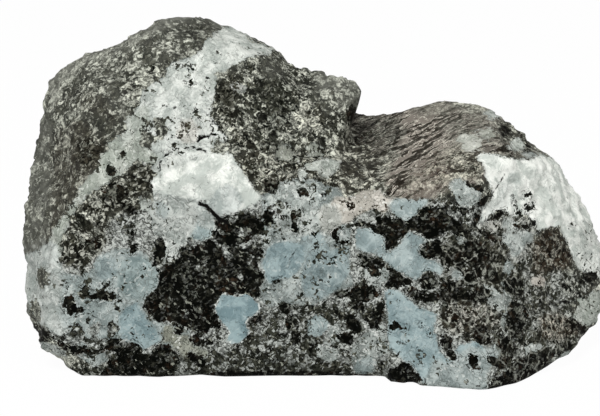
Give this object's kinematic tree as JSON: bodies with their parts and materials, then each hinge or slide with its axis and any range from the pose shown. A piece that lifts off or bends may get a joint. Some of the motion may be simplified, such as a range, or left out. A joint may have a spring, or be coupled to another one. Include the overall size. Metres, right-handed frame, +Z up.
{
  "type": "partly polished larimar stone",
  "caption": "Natural stone of blue and white pectolite in dark speckled basalt, with a ground front, rough broken sides and a flat to rest on.",
  "frame": {"origin": "middle of the bounding box's bottom face, on the surface that the stone rests on", "axes": "+X to the right as the polished front is seen, +Y from the polished front into the stone, +Z up"},
  "size_m": [0.12, 0.0616, 0.0637],
  "materials": {
    "stone": "pectolite, blue to white, and dark speckled basalt; semi-gloss where it is ground, matt and rough elsewhere"
  },
  "bodies": {
    "root": {"larimar_stone": "stone"}
  },
  "joints": []
}
